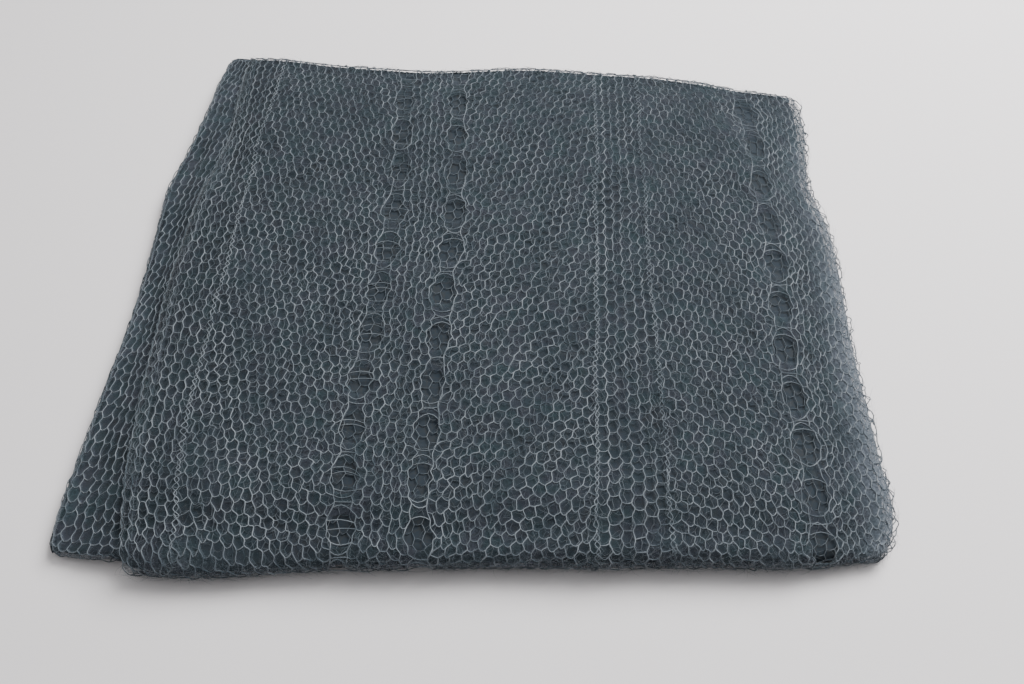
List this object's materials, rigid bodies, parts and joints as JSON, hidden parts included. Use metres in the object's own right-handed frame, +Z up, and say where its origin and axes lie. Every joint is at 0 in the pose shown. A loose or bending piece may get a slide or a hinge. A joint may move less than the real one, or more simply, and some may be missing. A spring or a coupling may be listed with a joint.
{
  "type": "folded lace shawl",
  "caption": "Knitted lace shawl folded into a soft flat packet, with eyelet columns and a free edge over a fold at its left, for resting on a surface.",
  "frame": {"origin": "centre of the bounding box's underside, where the folded packet rests", "axes": "+X across the packet along its front fold, +Y to the packet's back along the columns of stitches, +Z up"},
  "size_m": [0.4468, 0.3884, 0.0254],
  "materials": {
    "top_panel_wool": "open lace net of fine brushed yarn, teal grey with a soft silvery halo",
    "left_fold_wool": "the same net, a little darker where it lies lower",
    "hidden_layers_wool": "dense stacked net, dark teal grey"
  },
  "bodies": {
    "root": {"top_panel": "top_panel_wool", "left_fold": "left_fold_wool", "hidden_layers": "hidden_layers_wool"}
  },
  "joints": []
}
